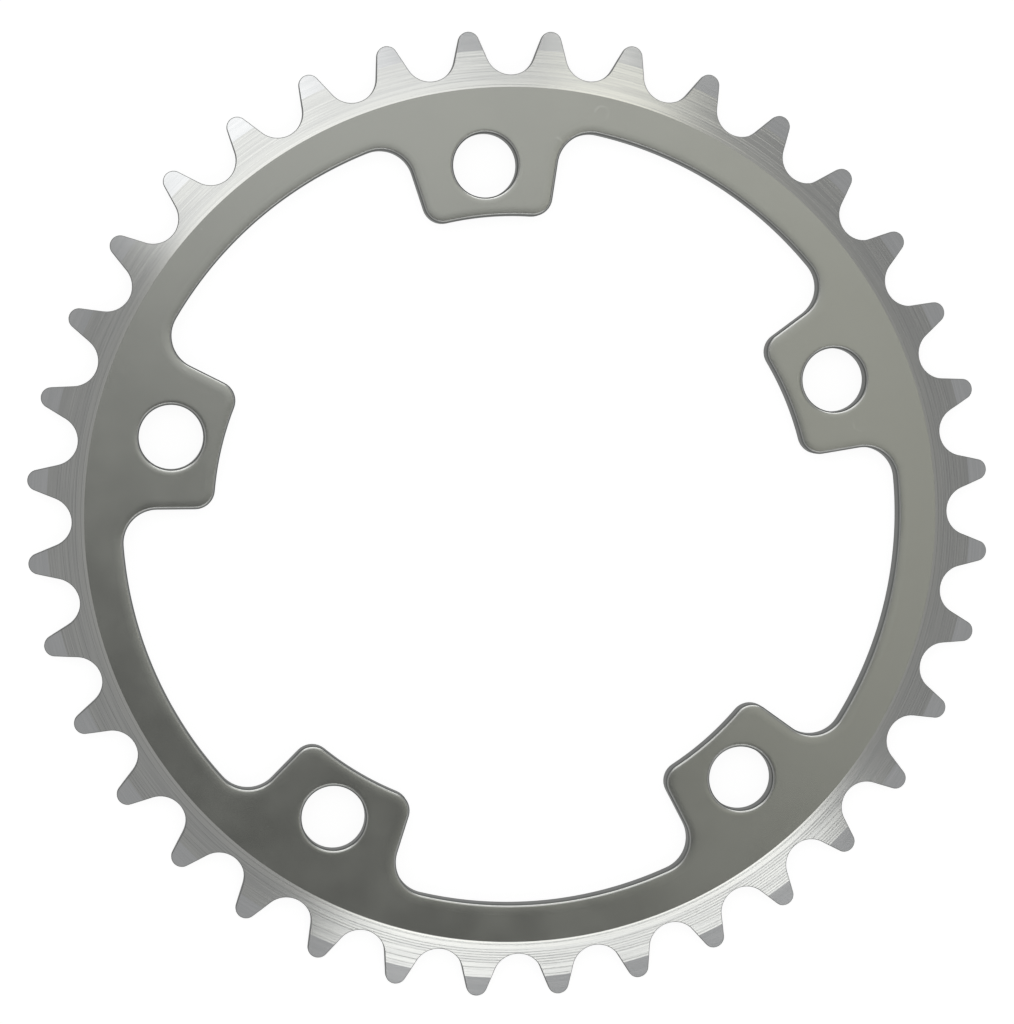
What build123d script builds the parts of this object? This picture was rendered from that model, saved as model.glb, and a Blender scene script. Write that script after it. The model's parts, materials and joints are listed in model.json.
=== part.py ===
from build123d import *
from math import cos, pi, radians, sin, sqrt, tan
import os

# Bicycle chainring with five bolt tabs, one piece of aluminium plate, lying on its back face.
# Sizes are in millimetres. The origin is the ring's centre on the back face, and +Z points out of the front.

# Chain that the teeth carry
chain_pitch = 12.7
roller_diameter = 7.75
seating_clearance = 0.05

# Teeth
tooth_count = 36
tooth_phase = 5.47
flank_angle = 17.0
tip_height = 3.12
tooth_thickness = 2.1
tip_bevel_angle = 15.0
back_relief_angle = 9.0
back_relief_width = 2.3

# Plate, with the band turned down from its front face to the teeth
plate_thickness = 3.2
band_width = 5.85
rim_depth = 7.85
stock_allowance = 0.5

# Bolts and the tabs that carry them
bolt_circle = 110.0
bolt_count = 5
bolt_phase = 22.82
bolt_hole = 10.0
tab_end_margin = 8.0
tab_end_width = 18.8
tab_flare = 13.5
tab_corner_radius = 3.1
tab_root_radius = 5.2

# Edges broken round the middle and the bolt holes in front, and round the bolt holes behind
front_edge_break = 0.4
back_edge_break = 0.25

# Radii from the ring's centre
half_tooth = 180 / tooth_count
pitch_radius = chain_pitch / (2 * sin(pi / tooth_count))
seat_radius = roller_diameter / 2 + seating_clearance
root_radius = pitch_radius - seat_radius
tip_radius = pitch_radius + tip_height
stock_radius = tip_radius + stock_allowance
relief_radius = tip_radius - back_relief_width
face_radius = pitch_radius - band_width
window_radius = root_radius - rim_depth
bolt_radius = bolt_circle / 2
tab_end_radius = bolt_radius - tab_end_margin

# A tab that stands less far out of the rim leaves room for smaller rounds
tab_length = window_radius - tab_end_radius
tab_corner_round = min(tab_corner_radius, 0.3 * tab_length)
tab_root_round = min(tab_root_radius, 0.5 * tab_length)

# Half of one tooth, standing along +X. A roller seat is an arc about the roller's centre on the pitch circle.
# The straight flank leaves it on a tangent, and one full round, tangent to both flanks, makes the tip.
flank_x = sin(radians(flank_angle))
flank_y = cos(radians(flank_angle))
roller_centre = Vector(pitch_radius * cos(radians(half_tooth)), pitch_radius * sin(radians(half_tooth)))
flank_normal = Vector(flank_x, flank_y)
flank_start = roller_centre - flank_normal * seat_radius
tip_round = (flank_start.dot(flank_normal) - tip_radius * flank_x) / (1 - flank_x)
tip_centre = Vector(tip_radius - tip_round, 0)

with BuildLine() as tooth:
    seat = CenterArc(roller_centre, seat_radius, 180 + half_tooth, 90 - flank_angle - half_tooth)
    tip = CenterArc(tip_centre, tip_round, 0, 90 - flank_angle)
    Line(seat @ 1, tip @ 1)
    mirror(about=Plane.XZ)

# One side of a bolt tab, standing along +X: a straight line from the tab's end out into the rim
tab_end_x = sqrt(tab_end_radius**2 - (tab_end_width / 2) ** 2)
tab_slope = tan(radians(tab_flare))
tab_inner_x = tab_end_x - tab_corner_radius
tab_inner_y = tab_end_width / 2 - tab_corner_radius * tab_slope
tab_outer_y = tab_end_width / 2 + (root_radius - tab_end_x) * tab_slope

# Thicknesses at the edge of the turned blank, before the teeth are cut
stock_front = tooth_thickness - (stock_radius - pitch_radius) * tan(radians(tip_bevel_angle))
stock_back = (stock_radius - relief_radius) * tan(radians(back_relief_angle))

with BuildPart() as chainring:
    # Turned blank: flat back with a relief at the tooth tips, flat front, turned band and tip bevel
    with BuildSketch(Plane.XZ) as section:
        with BuildLine():
            Polyline(
                (0, 0),
                (relief_radius, 0),
                (stock_radius, stock_back),
                (stock_radius, stock_front),
                (pitch_radius, tooth_thickness),
                (face_radius, plate_thickness),
                (0, plate_thickness),
                close=True,
            )
        make_face()
    revolve(axis=Axis.Z)

    # Teeth cut round the blank
    with BuildSketch() as toothed_outline:
        with BuildLine():
            with PolarLocations(0, tooth_count, start_angle=tooth_phase):
                add(tooth.line)
        make_face()
    extrude(amount=plate_thickness, mode=Mode.INTERSECT)

    # Open middle, which leaves the rim and the five tabs with their hollow ends
    with BuildSketch() as window:
        Circle(window_radius)
        with PolarLocations(0, bolt_count, start_angle=bolt_phase):
            Polygon(
                (tab_inner_x, -tab_inner_y),
                (root_radius, -tab_outer_y),
                (root_radius, tab_outer_y),
                (tab_inner_x, tab_inner_y),
                align=None,
                mode=Mode.SUBTRACT,
            )
        Circle(tab_end_radius)
        corners = window.vertices().sort_by(SortBy.DISTANCE)
        fillet(corners[: 2 * bolt_count], tab_corner_round)
        roots = window.vertices().sort_by(SortBy.DISTANCE)
        fillet(roots[-2 * bolt_count :], tab_root_round)
    extrude(amount=plate_thickness, mode=Mode.SUBTRACT)

    with PolarLocations(bolt_radius, bolt_count, start_angle=bolt_phase):
        Hole(bolt_hole / 2)

    # Broken edges. On the back, the open middle has the longest inner outline and the bolt holes the rest.
    front_face = chainring.faces().sort_by(Axis.Z)[-1]
    chamfer(front_face.inner_wires().edges(), front_edge_break)
    back_face = chainring.faces().sort_by(Axis.Z)[0]
    bolt_hole_rims = back_face.inner_wires().sort_by(SortBy.LENGTH)[:bolt_count]
    chamfer(bolt_hole_rims.edges(), back_edge_break)

chainring.part.label = "chainring"

os.makedirs("parts", exist_ok=True)
export_step(chainring.part, "parts/chainring.step")
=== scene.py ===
import json
from math import cos, pi, radians, sin, sqrt, tan

import bmesh
import bpy
from mathutils import Euler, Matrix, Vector


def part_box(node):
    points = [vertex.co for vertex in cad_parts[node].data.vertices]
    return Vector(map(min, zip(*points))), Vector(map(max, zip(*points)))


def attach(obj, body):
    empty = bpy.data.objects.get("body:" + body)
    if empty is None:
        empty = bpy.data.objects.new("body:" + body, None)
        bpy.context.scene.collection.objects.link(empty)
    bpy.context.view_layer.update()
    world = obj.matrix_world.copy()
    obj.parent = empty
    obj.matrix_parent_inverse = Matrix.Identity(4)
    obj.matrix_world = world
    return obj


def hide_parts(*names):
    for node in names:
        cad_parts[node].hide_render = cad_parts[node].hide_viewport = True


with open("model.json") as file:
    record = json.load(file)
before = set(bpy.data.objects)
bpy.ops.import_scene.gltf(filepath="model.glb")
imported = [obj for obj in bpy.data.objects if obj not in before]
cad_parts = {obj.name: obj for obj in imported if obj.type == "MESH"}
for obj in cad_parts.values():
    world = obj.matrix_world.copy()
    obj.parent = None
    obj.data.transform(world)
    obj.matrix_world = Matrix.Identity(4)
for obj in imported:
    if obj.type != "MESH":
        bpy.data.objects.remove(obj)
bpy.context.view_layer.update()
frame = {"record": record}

# The scene's unit is the metre
MM = 0.001

# Chain, bolts and plate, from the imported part
mount_sizes = {mount["name"]: mount["dims"] for mount in frame["record"]["mounts"]}
plate_back, plate_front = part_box("chainring")
plate_thickness = plate_front.z - plate_back.z
tooth_count = mount_sizes["chain_teeth"]["count"]
bolt_count = mount_sizes["bolt_circle"]["count"]
bolt_radius = mount_sizes["bolt_circle"]["pcd_mm"] / 2 * MM
bolt_hole_radius = mount_sizes["bolt_circle"]["hole_r_mm"] * MM

# Teeth
chain_pitch = 12.7 * MM
roller_diameter = 7.75 * MM
seating_clearance = 0.05 * MM
tooth_phase = radians(5.47)
flank_angle = radians(17)
tip_height = 3.12 * MM
tooth_thickness = 2.1 * MM
tip_bevel_angle = radians(15)
back_relief_angle = radians(9)
back_relief_width = 2.3 * MM

# Rim and tabs
band_width = 5.85 * MM
rim_depth = 7.85 * MM
bolt_phase = radians(22.82)
tab_end_margin = 8 * MM
tab_end_width = 18.8 * MM
tab_flare = radians(13.5)
tab_corner_radius = 3.1 * MM
tab_root_radius = 5.2 * MM

# Edges: the tumbled plate falls away gently towards an edge, and then turns down in a small round
window_fall_width = 1.75 * MM
window_fall = 0.075 * MM
window_edge_radius = 0.5 * MM
hole_fall_width = 1.0 * MM
hole_fall = 0.07 * MM
hole_edge_radius = 0.5 * MM
fall_power = 2.5
back_edge_radius = 0.22 * MM
flank_edge_break = 0.1 * MM

# A strip of flat metal beside each round keeps the round's shading off the rest of the face or wall
flat_strip = 0.1 * MM

# The lip lies between these shares of a front round, after the face's finish and before the wall's. It is
# rubbed by the tumbling, and painted lighter as a painted highlight
lip_start = 0.15
lip_end = 0.45

# How finely the surfaces are built: numbers of steps, and the length of a step round an opening
curve_steps = 9
band_steps = 4
bevel_steps = 2
flank_edge_steps = 3
side_steps = 5
fall_steps = 7
front_round_steps = 10
back_round_steps = 4
fewest_arc_steps = 4
wide_step = 0.5 * MM
fine_step = 0.3 * MM

# Two points nearer than this are one
same_place = 0.0001 * MM

# Radii from the ring's centre
half_tooth = pi / tooth_count
pitch_radius = chain_pitch / (2 * sin(half_tooth))
seat_radius = roller_diameter / 2 + seating_clearance
root_radius = pitch_radius - seat_radius
tip_radius = pitch_radius + tip_height
relief_radius = tip_radius - back_relief_width
face_radius = pitch_radius - band_width
window_radius = root_radius - rim_depth
tab_end_radius = bolt_radius - tab_end_margin
band_slope = (plate_thickness - tooth_thickness) / band_width

# Finishes, in the order of the ring's material slots
FACE, BAND, BEVEL, FLANK, LIP, WALL = range(6)

# Finishes that meet on a rounded surface, with no crisp line between them
SOFT_BORDERS = ({FACE, LIP}, {LIP, WALL}, {FACE, WALL})


def direction(angle):
    return Vector((cos(angle), sin(angle)))


def turned(point, angle):
    """A point or normal in the plate's plane, turned about the ring's centre."""
    along = direction(angle)
    return Vector((point.x * along.x - point.y * along.y, point.x * along.y + point.y * along.x))


def shares(steps):
    """Equal steps from just after 0 up to 1."""
    return [step / steps for step in range(1, steps + 1)]


# One side of the tooth that stands along +X. Its stations run from 0 in the valley's middle to 3 at the tip.
roller_centre = pitch_radius * direction(half_tooth)
flank_normal = Vector((sin(flank_angle), cos(flank_angle)))
flank_start = roller_centre - seat_radius * flank_normal
tip_round = (flank_start.dot(flank_normal) - tip_radius * flank_normal.x) / (1 - flank_normal.x)
tip_centre = Vector((tip_radius - tip_round, 0))


def tooth_edge(station, inset=0.0):
    """The tooth's outline, drawn into the metal by inset.

    The roller seat runs up to station 1, the straight flank to 2 and the tip's round to 3.
    """
    if station <= 1:
        sweep = station * (pi / 2 - flank_angle - half_tooth)
        return roller_centre + (seat_radius + inset) * direction(pi + half_tooth + sweep)
    if station >= 2:
        return tip_centre + (tip_round - inset) * direction((3 - station) * (pi / 2 - flank_angle))
    return tooth_edge(1, inset).lerp(tooth_edge(2, inset), station - 1)


def station_at(radius):
    """The station where the tooth's drawn-in outline crosses a circle about the ring's centre."""
    low, high = 0.0, 3.0
    halvings = 40
    for _ in range(halvings):
        middle = (low + high) / 2
        if tooth_edge(middle, flank_edge_break).length < radius:
            low = middle
        else:
            high = middle
    return high


def front_height(radius):
    """Height of the turned band or the tip bevel."""
    if radius > pitch_radius:
        return tooth_thickness - (radius - pitch_radius) * tan(tip_bevel_angle)
    return plate_thickness - (radius - face_radius) * band_slope


def back_height(radius):
    """Height of the back, which is flat up to the relief at the tooth tips."""
    return max(0.0, radius - relief_radius) * tan(back_relief_angle)


def rim_section(station):
    """One cut through the toothed rim, from the face's edge over the tooth to the flat back.

    Each step has the finish of the surface that leads to it, a point in the plate's plane and a height.
    """
    edge = tooth_edge(station, flank_edge_break)
    outward = edge.normalized()
    band_end = min(edge.length, pitch_radius)
    relief_start = min(edge.length, relief_radius)
    steps = [(None, face_radius * outward, plate_thickness)]
    for share in shares(band_steps):
        radius = face_radius + share * (band_end - face_radius)
        steps.append((BAND, radius * outward, front_height(radius)))
    for share in shares(bevel_steps):
        radius = band_end + share * (edge.length - band_end)
        steps.append((BEVEL, radius * outward, front_height(radius)))
    for share in shares(flank_edge_steps):
        turn = share * pi / 2
        point = tooth_edge(station, flank_edge_break * (1 - sin(turn)))
        steps.append((FLANK, point, front_height(point.length) - flank_edge_break * (1 - cos(turn))))
    for share in (0, *shares(flank_edge_steps)):
        turn = (1 - share) * pi / 2
        point = tooth_edge(station, flank_edge_break * (1 - sin(turn)))
        steps.append((FLANK, point, back_height(point.length) + flank_edge_break * (1 - cos(turn))))
    for share in shares(bevel_steps):
        radius = edge.length + share * (relief_start - edge.length)
        steps.append((BEVEL, radius * outward, back_height(radius)))
    steps.append((FACE, face_radius * outward, 0.0))
    return steps


def rim_stations():
    """Tooth angle, side and station right round the ring, with each valley and each tip once."""
    seat = [step / curve_steps for step in range(curve_steps + 1)]
    tip = [2 + station for station in seat]
    # Between them lie the flank's middle and the circles where the tip bevel and the back's relief start
    flank_middle = 1.5
    stations = sorted(seat + tip + [flank_middle, station_at(pitch_radius), station_at(relief_radius)])
    for tooth in range(tooth_count):
        angle = tooth_phase + 2 * half_tooth * tooth
        for station in stations:
            yield angle, -1, station
        for station in stations[-2:0:-1]:
            yield angle, 1, station


def rim_loops():
    """The toothed rim as closed loops of points, each with the finish that leads to it."""
    columns = []
    for angle, side, station in rim_stations():
        column = []
        for finish, point, height in rim_section(station):
            place = turned(Vector((point.x, side * point.y)), angle)
            column.append((finish, Vector((place.x, place.y, height))))
        columns.append(column)
    for level in zip(*columns):
        yield level[0][0], [place for _, place in level]


# The straight side of the bolt tab along +X, and the rounds at its two ends
side_start = Vector((sqrt(tab_end_radius**2 - (tab_end_width / 2) ** 2), tab_end_width / 2))
side_along = direction(tab_flare)
side_normal = Vector((-side_along.y, side_along.x))


def centre_beside_tab(offset, radius):
    """A round's centre, offset out of the tab's straight side and on a circle about the ring's centre."""
    foot = side_start + offset * side_normal
    along = foot.dot(side_along)
    return foot + (sqrt(along**2 - foot.length_squared + radius**2) - along) * side_along


def arc(centre, radius, start, end, facing, step=wide_step):
    """Points along an arc and the normals out of the metal. Facing is 1 round metal and -1 round a gap."""
    steps = max(fewest_arc_steps, round(abs(end - start) * radius / step))
    for index in range(steps):
        outward = direction(start + (end - start) * index / steps)
        yield centre + radius * outward, facing * outward


def half_tab():
    """The open middle's outline from a tab's centre line to halfway to the next tab."""
    middle = Vector((0, 0))
    corner = centre_beside_tab(-tab_corner_radius, tab_end_radius + tab_corner_radius)
    root = centre_beside_tab(tab_root_radius, window_radius - tab_root_radius)
    corner_angle = corner.to_2d().angle_signed(Vector((1, 0)))
    root_angle = root.to_2d().angle_signed(Vector((1, 0)))
    side_angle = tab_flare + pi / 2
    yield from arc(middle, tab_end_radius, 0, corner_angle, -1)
    yield from arc(corner, tab_corner_radius, corner_angle + pi, side_angle, 1)
    first = corner + tab_corner_radius * side_normal
    last = root - tab_root_radius * side_normal
    for share in (0, *shares(side_steps)[:-1]):
        yield first.lerp(last, share), side_normal
    yield from arc(root, tab_root_radius, side_angle - pi, root_angle, -1)
    yield from arc(middle, window_radius, root_angle, pi / bolt_count, -1)
    halfway = direction(pi / bolt_count)
    yield window_radius * halfway, -halfway


def window_outline():
    """Points and normals right round the open middle."""
    half = list(half_tab())
    mirrored = [(Vector((p.x, -p.y)), Vector((n.x, -n.y))) for p, n in half]
    whole = mirrored[:0:-1] + half[:-1]
    for tab in range(bolt_count):
        angle = bolt_phase + 2 * pi * tab / bolt_count
        for point, normal in whole:
            yield turned(point, angle), turned(normal, angle)


def hole_outline(angle):
    """Points and normals round the bolt hole that lies in this direction, and starting in it.

    With another start, the points at the top hole lie nearly level and the flat fill folds a sliver there.
    """
    centre = bolt_radius * direction(angle)
    return arc(centre, bolt_hole_radius, angle, angle + 2 * pi, -1, step=fine_step)


def wall_section(fall_width, fall, edge_radius):
    """Finish, inset and height down a wall, from the flat face round its edges to the flat back."""
    steps = [(None, fall_width + flat_strip, plate_thickness), (FACE, fall_width, plate_thickness)]
    round_start = edge_radius / fall_width
    for share in shares(fall_steps):
        travelled = share * (1 - round_start)
        height = plate_thickness - fall * travelled**fall_power
        steps.append((FACE, fall_width * (1 - travelled), height))
    top = steps[-1][2]
    for share in shares(front_round_steps):
        turn = share * pi / 2
        # Down the round, the face's finish gives way to the lip's painted highlight and then to the wall's
        # painted shade
        finish = FACE if share < lip_start else LIP if share < lip_end else WALL
        inset = edge_radius * (1 - sin(turn))
        steps.append((finish, inset, top - edge_radius * (1 - cos(turn))))
    steps.append((WALL, 0.0, top - edge_radius - flat_strip))
    steps.append((WALL, 0.0, back_edge_radius + flat_strip))
    for share in (0, *shares(back_round_steps)):
        turn = share * pi / 2
        steps.append((WALL, back_edge_radius * (1 - cos(turn)), back_edge_radius * (1 - sin(turn))))
    steps.append((FACE, back_edge_radius + flat_strip, 0.0))
    return steps


def wall_loops(outline, section):
    """A wall round an opening as closed loops of points, each with the finish that leads to it."""
    outline = list(outline)
    for finish, inset, height in section:
        places = [point - inset * normal for point, normal in outline]
        yield finish, [Vector((place.x, place.y, height)) for place in places]


def add_loop(mesh, places, near=None):
    """Vertices for a closed loop. Where it touches the loop before, they are the same."""
    vertices = []
    for index, place in enumerate(places):
        shared = near is not None and (near[index].co - place).length < same_place
        vertices.append(near[index] if shared else mesh.verts.new(place))
    return vertices


def bridge(mesh, near, far, finish):
    """Faces between two closed loops."""
    for index in range(len(near)):
        after = (index + 1) % len(near)
        corners = []
        for vertex in (near[index], far[index], far[after], near[after]):
            if vertex not in corners:
                corners.append(vertex)
        if len(corners) > 2:
            mesh.faces.new(corners).material_index = finish


def add_skin(mesh, loops):
    """Bridges loop after loop, and gives back the first and the last."""
    first = near = None
    for finish, places in loops:
        far = add_loop(mesh, places, near)
        if near is None:
            first = far
        else:
            bridge(mesh, near, far, finish)
        near = far
    return first, near


def fill_flat(mesh, borders, upward):
    """A flat face between one outer border and the openings inside it."""
    edges = []
    for border in borders:
        for near, far in zip(border, border[1:] + border[:1]):
            edges.append(mesh.edges.get((near, far)))
    filled = bmesh.ops.triangle_fill(mesh, edges=edges, use_beauty=True, normal=(0, 0, upward))
    for item in filled["geom"]:
        if isinstance(item, bmesh.types.BMFace):
            item.material_index = FACE


def mark_borders(mesh):
    """Smooth shading, with a crisp line where two finishes meet, apart from the soft borders."""
    for face in mesh.faces:
        face.smooth = True
    for edge in mesh.edges:
        finishes = {face.material_index for face in edge.link_faces}
        edge.smooth = len(finishes) == 1 or finishes in SOFT_BORDERS


def make_chainring():
    """The ring as one closed mesh."""
    mesh = bmesh.new()
    skins = [add_skin(mesh, rim_loops())]
    window_section = wall_section(window_fall_width, window_fall, window_edge_radius)
    skins.append(add_skin(mesh, wall_loops(window_outline(), window_section)))
    hole_section = wall_section(hole_fall_width, hole_fall, hole_edge_radius)
    for hole in range(bolt_count):
        angle = bolt_phase + 2 * pi * hole / bolt_count
        skins.append(add_skin(mesh, wall_loops(hole_outline(angle), hole_section)))
    fill_flat(mesh, [first for first, _ in skins], 1)
    fill_flat(mesh, [last for _, last in skins], -1)
    bmesh.ops.recalc_face_normals(mesh, faces=mesh.faces)
    mark_borders(mesh)
    data = bpy.data.meshes.new("turned_chainring")
    mesh.to_mesh(data)
    mesh.free()
    ring = bpy.data.objects.new("turned_chainring", data)
    bpy.context.scene.collection.objects.link(ring)
    return ring


def add_node(tree, kind, inputs=None, **settings):
    """A shader node with its settings. An input is given a plain value or another node's socket."""
    node = tree.nodes.new(kind)
    for name, value in settings.items():
        setattr(node, name, value)
    for name, value in (inputs or {}).items():
        if isinstance(value, bpy.types.NodeSocket):
            tree.links.new(value, node.inputs[name])
        else:
            node.inputs[name].default_value = value
    return node


def calculate(tree, operation, *values):
    """The result of one sum on numbers or sockets."""
    inputs = dict(enumerate(values))
    return add_node(tree, "ShaderNodeMath", inputs, operation=operation).outputs[0]


def fade(tree, value, start, end, low=0.0, high=1.0):
    """A smooth change from low to high as value goes from start to end."""
    inputs = {"Value": value, "From Min": start, "From Max": end, "To Min": low, "To Max": high}
    return add_node(tree, "ShaderNodeMapRange", inputs, interpolation_type="SMOOTHSTEP").outputs["Result"]


def mix_colours(tree, share, first, second):
    """A colour between two others."""
    share_input, first_input, second_input, colour_output = 0, 6, 7, 2
    inputs = {share_input: share, first_input: first, second_input: second}
    return add_node(tree, "ShaderNodeMix", inputs, data_type="RGBA").outputs[colour_output]


def new_group(name, inputs, outputs):
    """An empty node group with its sockets, and its input and output nodes."""
    tree = bpy.data.node_groups.new(name, "ShaderNodeTree")
    for label, value in inputs.items():
        socket = tree.interface.new_socket(label, in_out="INPUT", socket_type="NodeSocketFloat")
        socket.default_value = value
    for label, kind in outputs.items():
        tree.interface.new_socket(label, in_out="OUTPUT", socket_type=kind)
    return tree, tree.nodes.new("NodeGroupInput").outputs, tree.nodes.new("NodeGroupOutput").inputs


def use_group(tree, group, **inputs):
    """A node group placed in a material, with its values. The outputs are given back."""
    named = {label.replace("_", " "): value for label, value in inputs.items()}
    return add_node(tree, "ShaderNodeGroup", named, node_tree=group).outputs


def make_ring_place():
    """Where a point is on the ring: its radius in millimetres, and its direction from the centre."""
    kinds = {"Radius": "NodeSocketFloat", "Direction": "NodeSocketVector"}
    tree, _, outputs = new_group("ring_place", {}, kinds)
    place = add_node(tree, "ShaderNodeTexCoord").outputs["Object"]
    flattened = {0: place, 1: (1, 1, 0)}
    flat = add_node(tree, "ShaderNodeVectorMath", flattened, operation="MULTIPLY").outputs["Vector"]
    length = add_node(tree, "ShaderNodeVectorMath", {0: flat}, operation="LENGTH").outputs["Value"]
    outward = add_node(tree, "ShaderNodeVectorMath", {0: flat}, operation="NORMALIZE").outputs["Vector"]
    tree.links.new(calculate(tree, "DIVIDE", length, MM), outputs["Radius"])
    tree.links.new(outward, outputs["Direction"])
    return tree


def noise_round(tree, outward, across, length, detail):
    """Noise drawn out to a length round the ring. Across counts the marks from the ring's centre."""
    along = calculate(tree, "DIVIDE", pitch_radius / MM, length)
    drawn_out = {0: outward, "Scale": along}
    around = add_node(tree, "ShaderNodeVectorMath", drawn_out, operation="SCALE").outputs["Vector"]
    split = add_node(tree, "ShaderNodeSeparateXYZ", {"Vector": around}).outputs
    joined = {0: across, 1: split[0], 2: split[1]}
    where = add_node(tree, "ShaderNodeCombineXYZ", joined).outputs["Vector"]
    noise = {"Vector": where, "Scale": 1.0, "Detail": detail, "Roughness": 0.6}
    return add_node(tree, "ShaderNodeTexNoise", noise).outputs["Fac"]


def spread_grooves(tree, place, spacing, length):
    """Grooves a spacing apart, each of which wanders a little and comes and goes round the ring."""
    wander_length, wander_share = 40.0, 0.6
    wander = noise_round(tree, place["Direction"], 0.0, wander_length, 1.0)
    wander = calculate(tree, "MULTIPLY", wander, wander_share)
    turn = calculate(tree, "ADD", calculate(tree, "DIVIDE", place["Radius"], spacing), wander)
    past_middle = calculate(tree, "SUBTRACT", calculate(tree, "FRACT", turn), 0.5)
    line = fade(tree, calculate(tree, "ABSOLUTE", past_middle), 0.32, 0.48)
    noise_between_grooves = 7.3
    own_noise = calculate(tree, "MULTIPLY", calculate(tree, "ROUND", turn), noise_between_grooves)
    depth = fade(tree, noise_round(tree, place["Direction"], own_noise, length, 0.0), 0.3, 0.55)
    return calculate(tree, "MULTIPLY", line, depth)


def make_turning_marks(ring_place):
    """Marks of the lathe tool: fine streaks, grooves round the ring, and a paler strip beside the face.

    Sizes are in millimetres.
    """
    inputs = {"Streak width": 0.3, "Streak length": 12.0, "Groove spacing": 0.42, "Groove length": 40.0}
    kinds = dict.fromkeys(("Streaks", "Grooves", "Edge"), "NodeSocketFloat")
    tree, given, outputs = new_group("turning_marks", inputs, kinds)
    place = use_group(tree, ring_place)
    streak_across = calculate(tree, "DIVIDE", place["Radius"], given["Streak width"])
    streaks = noise_round(tree, place["Direction"], streak_across, given["Streak length"], 1.0)
    tree.links.new(streaks, outputs["Streaks"])

    off_face = calculate(tree, "SUBTRACT", place["Radius"], face_radius / MM)
    spread = spread_grooves(tree, place, given["Groove spacing"], given["Groove length"])
    clear_of_face = fade(tree, off_face, 0.8, 1.3)
    spread = calculate(tree, "MULTIPLY", spread, clear_of_face)
    first_groove = 0.45
    off_first = calculate(tree, "ABSOLUTE", calculate(tree, "SUBTRACT", off_face, first_groove))
    grooves = calculate(tree, "MAXIMUM", spread, fade(tree, off_first, 0.11, 0.03))
    tree.links.new(grooves, outputs["Grooves"])

    bright_edge = fade(tree, off_face, 0.36, 0.24)
    paler_strip = fade(tree, off_face, 1.4, 0.9, 0.0, 0.45)
    tree.links.new(calculate(tree, "MAXIMUM", bright_edge, paler_strip), outputs["Edge"])
    return tree


def scattered(tree, place, spacing):
    """Points scattered over the plate: how far off the nearest is, in spacings, and its random colour."""
    cells = {"Vector": place, "Scale": 1 / spacing}
    return add_node(tree, "ShaderNodeTexVoronoi", cells, voronoi_dimensions="2D").outputs


def speck_marks(tree, place):
    """Small specks, on a few of many scattered points."""
    points = scattered(tree, place, spacing=3.2 * MM)
    dot = fade(tree, points["Distance"], 0.045, 0.015)
    share_left_out = 0.86
    few = calculate(tree, "GREATER_THAN", points["Color"], share_left_out)
    return calculate(tree, "MULTIPLY", dot, few)


def dent_marks(tree, place):
    """Faint rings with gaps in them, where other parts knocked this one in the tumbler."""
    points = scattered(tree, place, spacing=15 * MM)
    ring_radius, ring_width, gaps_to_the_metre = 0.07, 0.022, 420.0
    off_ring = calculate(tree, "ABSOLUTE", calculate(tree, "SUBTRACT", points["Distance"], ring_radius))
    ring = fade(tree, off_ring, ring_width, 0.0)
    gaps = {"Vector": place, "Scale": gaps_to_the_metre, "Detail": 1.0}
    part = fade(tree, add_node(tree, "ShaderNodeTexNoise", gaps).outputs["Fac"], 0.52, 0.72)
    return calculate(tree, "MULTIPLY", ring, part)


def make_tumbled_grain():
    """The even, cloudy skin of tumbled metal, with a few specks and dents from the tumbling.

    Sizes are in millimetres.
    """
    inputs = {"Grain size": 0.25, "Cloud size": 9.0, "Dent amount": 1.0}
    kinds = dict.fromkeys(("Grain", "Cloud", "Specks", "Dents"), "NodeSocketFloat")
    tree, given, outputs = new_group("tumbled_grain", inputs, kinds)
    place = add_node(tree, "ShaderNodeTexCoord").outputs["Object"]
    for label, size, detail in (("Grain", "Grain size", 3.0), ("Cloud", "Cloud size", 4.0)):
        scale = calculate(tree, "DIVIDE", 1 / MM, given[size])
        noise = {"Vector": place, "Scale": scale, "Detail": detail, "Roughness": 0.55}
        tree.links.new(add_node(tree, "ShaderNodeTexNoise", noise).outputs["Fac"], outputs[label])
    tree.links.new(speck_marks(tree, place), outputs["Specks"])
    dents = calculate(tree, "MULTIPLY", dent_marks(tree, place), given["Dent amount"])
    tree.links.new(dents, outputs["Dents"])
    return tree


def new_material(name):
    material = bpy.data.materials.new(name)
    material.use_nodes = True
    material.node_tree.nodes.clear()
    return material, material.node_tree


def finish_material(tree, **inputs):
    """The metal's own shader, joined to the material's output."""
    named = {label.replace("_", " "): value for label, value in inputs.items()}
    shader = add_node(tree, "ShaderNodeBsdfPrincipled", {"Metallic": 1.0, **named})
    add_node(tree, "ShaderNodeOutputMaterial", {"Surface": shader.outputs["BSDF"]})


def bump(tree, height, depth):
    """Normals from a height, of which 1 stands for a depth in metres."""
    inputs = {"Strength": 1.0, "Distance": depth, "Height": height}
    return add_node(tree, "ShaderNodeBump", inputs).outputs["Normal"]


def make_satin_face(tumbled_grain):
    """Clear anodised plate, tumbled to an even satin grey."""
    material, tree = new_material("satin_anodised_face")
    skin = use_group(tree, tumbled_grain)
    darker, lighter, bare = (0.55, 0.562, 0.52, 1), (0.59, 0.603, 0.557, 1), (0.85, 0.86, 0.83, 1)
    colour = mix_colours(tree, fade(tree, skin["Cloud"], 0.3, 0.7), darker, lighter)
    dent_share, mark_share = 0.4, 0.5
    dents = calculate(tree, "MULTIPLY", skin["Dents"], dent_share)
    marks = calculate(tree, "MAXIMUM", skin["Specks"], dents)
    colour = mix_colours(tree, calculate(tree, "MULTIPLY", marks, mark_share), colour, bare)
    smoother, rougher = 0.24, 0.27
    roughness = fade(tree, skin["Cloud"], 0.3, 0.7, smoother, rougher)
    dent_height = 2.0
    height = calculate(tree, "MULTIPLY_ADD", skin["Dents"], dent_height, skin["Grain"])
    finish_material(tree, Base_Color=colour, Roughness=roughness, Normal=bump(tree, height, 0.002 * MM))
    return material


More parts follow.
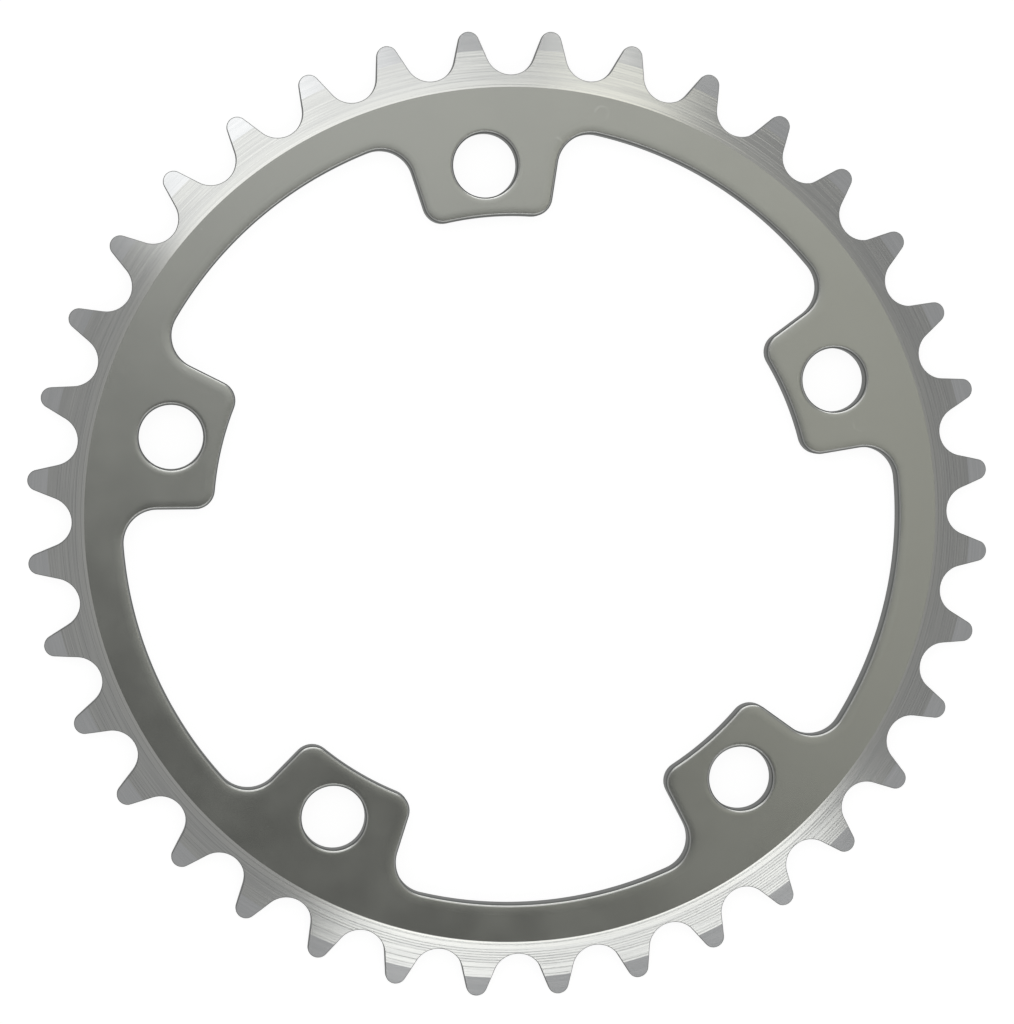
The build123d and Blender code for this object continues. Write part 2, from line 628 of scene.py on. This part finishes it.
def make_turned_band(turning_marks):
    """Bare turned metal, with the tool's lines running round it."""
    material, tree = new_material("turned_band")
    marks = use_group(tree, turning_marks)
    darker, lighter = (0.82, 0.83, 0.81, 1), (0.915, 0.925, 0.895, 1)
    colour = mix_colours(tree, fade(tree, marks["Streaks"], 0.3, 0.7), darker, lighter)
    brightest = (0.98, 0.985, 0.94, 1)
    colour = mix_colours(tree, marks["Edge"], colour, brightest)
    tangent = add_node(tree, "ShaderNodeTangent", direction_type="RADIAL", axis="Z").outputs["Tangent"]
    streak_height = 0.9
    streaks = calculate(tree, "MULTIPLY", marks["Streaks"], streak_height)
    height = calculate(tree, "SUBTRACT", streaks, marks["Grooves"])
    finish_material(
        tree,
        Base_Color=colour,
        Roughness=0.17,
        Anisotropic=0.6,
        Anisotropic_Rotation=0.25,
        Tangent=tangent,
        Normal=bump(tree, height, 0.005 * MM),
    )
    return material


def make_tip_bevel(turning_marks):
    """The finer cut on the tooth tips."""
    material, tree = new_material("turned_tip_bevel")
    marks = use_group(tree, turning_marks, Streak_width=0.35)
    darker, lighter = (0.82, 0.835, 0.84, 1), (0.88, 0.89, 0.895, 1)
    colour = mix_colours(tree, fade(tree, marks["Streaks"], 0.3, 0.7), darker, lighter)
    tangent = add_node(tree, "ShaderNodeTangent", direction_type="RADIAL", axis="Z").outputs["Tangent"]
    finish_material(
        tree,
        Base_Color=colour,
        Roughness=0.18,
        Anisotropic=0.5,
        Anisotropic_Rotation=0.25,
        Tangent=tangent,
        Normal=bump(tree, marks["Streaks"], 0.003 * MM),
    )
    return material


def make_flank_with_painted_shade(tumbled_grain):
    """The milled sides of the teeth, darkened with painted shade."""
    material, tree = new_material("tooth_flank_with_painted_shade")
    skin = use_group(tree, tumbled_grain, Grain_size=0.15, Cloud_size=3.0, Dent_amount=0.0)
    # Far darker than the face: painted shade on the teeth's sides, which draws a dark line round their
    # outline
    darker, lighter = (0.22, 0.225, 0.22, 1), (0.3, 0.305, 0.3, 1)
    colour = mix_colours(tree, skin["Cloud"], darker, lighter)
    finish_material(tree, Base_Color=colour, Roughness=0.42, Normal=bump(tree, skin["Grain"], 0.004 * MM))
    return material


def make_lip_with_painted_highlight(tumbled_grain):
    """The rounded lips, rubbed by the tumbling and painted lighter than the face as a painted highlight."""
    material, tree = new_material("lip_with_painted_highlight")
    skin = use_group(tree, tumbled_grain, Grain_size=0.3, Cloud_size=4.0, Dent_amount=0.0)
    # Lighter than the face: a painted highlight on the lips, where they turn down towards the wall
    darker, lighter = (0.66, 0.67, 0.645, 1), (0.74, 0.75, 0.725, 1)
    colour = mix_colours(tree, skin["Cloud"], darker, lighter)
    finish_material(tree, Base_Color=colour, Roughness=0.24, Normal=bump(tree, skin["Grain"], 0.002 * MM))
    return material


def make_wall_with_painted_shade(tumbled_grain):
    """The walls of the open middle and the bolt holes, darkened with painted shade."""
    material, tree = new_material("wall_with_painted_shade")
    skin = use_group(tree, tumbled_grain, Grain_size=0.3, Cloud_size=4.0, Dent_amount=0.0)
    # Far darker than the face: painted shade on walls that would otherwise mirror the white floor
    darker, lighter = (0.19, 0.196, 0.19, 1), (0.27, 0.278, 0.27, 1)
    colour = mix_colours(tree, skin["Cloud"], darker, lighter)
    finish_material(tree, Base_Color=colour, Roughness=0.36, Normal=bump(tree, skin["Grain"], 0.004 * MM))
    return material


def add_finishes(ring):
    """The ring's material slots, in the order of the finishes."""
    tumbled_grain = make_tumbled_grain()
    turning_marks = make_turning_marks(make_ring_place())
    ring.data.materials.append(make_satin_face(tumbled_grain))
    ring.data.materials.append(make_turned_band(turning_marks))
    ring.data.materials.append(make_tip_bevel(turning_marks))
    ring.data.materials.append(make_flank_with_painted_shade(tumbled_grain))
    ring.data.materials.append(make_lip_with_painted_highlight(tumbled_grain))
    ring.data.materials.append(make_wall_with_painted_shade(tumbled_grain))


def glow_seen(tree):
    """The floor's own glow: white to the camera, greyer in the metal's gloss, and none on other things."""
    path = add_node(tree, "ShaderNodeLightPath").outputs
    to_camera, in_gloss = 0.9, 0.42
    seen_straight = calculate(tree, "MULTIPLY", path["Is Camera Ray"], to_camera)
    seen_in_gloss = calculate(tree, "MULTIPLY", path["Is Glossy Ray"], in_gloss)
    return calculate(tree, "MAXIMUM", seen_straight, seen_in_gloss)


def make_floor():
    """A plain floor, white to the camera, that keeps the ring's soft shadow. It is clear from below."""
    half_width, height = 1.5, -0.05 * MM
    data = bpy.data.meshes.new("floor")
    sides = ((-1, -1), (1, -1), (1, 1), (-1, 1))
    corners = [(side_x * half_width, side_y * half_width, height) for side_x, side_y in sides]
    data.from_pydata(corners, [], [(0, 1, 2, 3)])
    floor = bpy.data.objects.new("floor", data)
    bpy.context.scene.collection.objects.link(floor)
    material, tree = new_material("white_floor")
    paper = add_node(tree, "ShaderNodeBsdfDiffuse", {"Color": (0.3, 0.3, 0.3, 1)})
    glow = add_node(tree, "ShaderNodeEmission", {"Strength": glow_seen(tree)})
    lit = add_node(tree, "ShaderNodeAddShader", {0: paper.outputs[0], 1: glow.outputs[0]})
    clear = add_node(tree, "ShaderNodeBsdfTransparent")
    below = add_node(tree, "ShaderNodeNewGeometry").outputs["Backfacing"]
    surface = add_node(tree, "ShaderNodeMixShader", {0: below, 1: lit.outputs[0], 2: clear.outputs[0]})
    add_node(tree, "ShaderNodeOutputMaterial", {"Surface": surface.outputs[0]})
    data.materials.append(material)


def make_studio():
    """A grey room, darkest in the ceiling over the ring's lower half. Its backdrop is white to the camera."""
    ceiling_grey, slope_grey, wall_grey = 0.113, 0.315, 0.5
    wall_top, slope_bottom = radians(18), radians(38)
    slope_top, ceiling_edge = radians(56), radians(81.5)
    ceiling_lean_x, ceiling_lean_y, edge_lean_x = -0.44, 1.5, 0.12
    world = bpy.data.worlds.new("studio")
    world.use_nodes = True
    tree = world.node_tree
    tree.nodes.clear()
    place = add_node(tree, "ShaderNodeTexCoord").outputs["Generated"]
    split = add_node(tree, "ShaderNodeSeparateXYZ", {"Vector": place}).outputs

    def leaning(start, share_x, share_y):
        """A value that changes steadily across the room."""
        across = calculate(tree, "MULTIPLY_ADD", split["X"], share_x, start)
        return calculate(tree, "MULTIPLY_ADD", split["Y"], share_y, across)

    ceiling = leaning(ceiling_grey, ceiling_lean_x * ceiling_grey, ceiling_lean_y * ceiling_grey)
    upward = leaning(split["Z"], edge_lean_x, 0.0)
    walls = fade(tree, split["Z"], sin(wall_top), sin(slope_bottom), wall_grey, slope_grey)
    room = fade(tree, upward, sin(slope_top), sin(ceiling_edge), walls, ceiling)
    backdrop = add_node(tree, "ShaderNodeLightPath").outputs["Is Camera Ray"]
    brightness = calculate(tree, "MAXIMUM", room, backdrop)
    background = add_node(tree, "ShaderNodeBackground", {"Color": (1, 1, 1, 1), "Strength": brightness})
    add_node(tree, "ShaderNodeOutputWorld", {"Surface": background.outputs[0]})
    bpy.context.scene.world = world


def add_panel(name, centre, size, turn, brightness, colour=(1, 1, 1)):
    """A soft lamp, which faces straight down when it is not turned.

    At a brightness of 1 its surface is white.
    """
    width, depth = size
    lamp = bpy.data.lights.new(name, "AREA")
    lamp.shape = "RECTANGLE"
    lamp.size, lamp.size_y = width, depth
    lamp.energy = pi * brightness * width * depth
    lamp.color = colour
    panel = bpy.data.objects.new(name, lamp)
    panel.location = centre
    panel.rotation_euler = turn
    panel.visible_camera = False
    bpy.context.scene.collection.objects.link(panel)
    return panel


def add_lamps():
    """Four panels in the ceiling, and one that stands behind the ring and shows in its rounded edges."""
    ceiling = 1.2
    # Panels at one height don't add up where they overlap, so the tooth tips' own hangs a little lower
    add_panel("right_panel", (0.317, 0.346, ceiling), (0.197, 1.163), (0, 0, 0), 0.6, (1, 0.99, 0.91))
    add_panel("upper_left_panel", (-0.146, 0.54, ceiling), (1.111, 0.616), (0, 0, radians(136.4)), 0.6)
    add_panel("tooth_tip_panel", (-0.44, 0.68, ceiling - 0.02), (0.42, 0.22), (0, 0, radians(38)), 0.35)
    add_panel("lower_panel", (0.28, -0.684, ceiling), (0.848, 0.318), (0, 0, radians(12.4)), 0.94)
    back_panel = add_panel("back_panel", (0, 1.6, 1.17), (2.4, 1.04), (radians(-90), 0, 0), 1.2)
    # It shows in the metal's gloss alone, and puts no light on the floor
    back_panel.visible_diffuse = False


def make_camera():
    """The photo's own angle, nearly straight down."""
    tilt, pan = radians(2.512), radians(6.134)
    shift_right, shift_up, distance = 0.89831 * MM, -0.56754 * MM, 581.79 * MM
    focal_length, frame_width = 129.94, 36
    data = bpy.data.cameras.new("camera")
    data.lens = focal_length
    data.sensor_width = frame_width
    data.sensor_fit = "AUTO"
    data.clip_start, data.clip_end = 0.01, 10
    camera = bpy.data.objects.new("camera", data)
    camera.rotation_euler = Euler((-tilt, -pan, 0), "XYZ")
    camera.location = camera.rotation_euler.to_matrix() @ Vector((-shift_right, -shift_up, distance))
    bpy.context.scene.collection.objects.link(camera)
    bpy.context.scene.camera = camera


ring = make_chainring()
add_finishes(ring)
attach(ring, "root")
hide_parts("chainring")
make_floor()
make_studio()
add_lamps()
make_camera()
bpy.context.scene.view_settings.view_transform = "Standard"
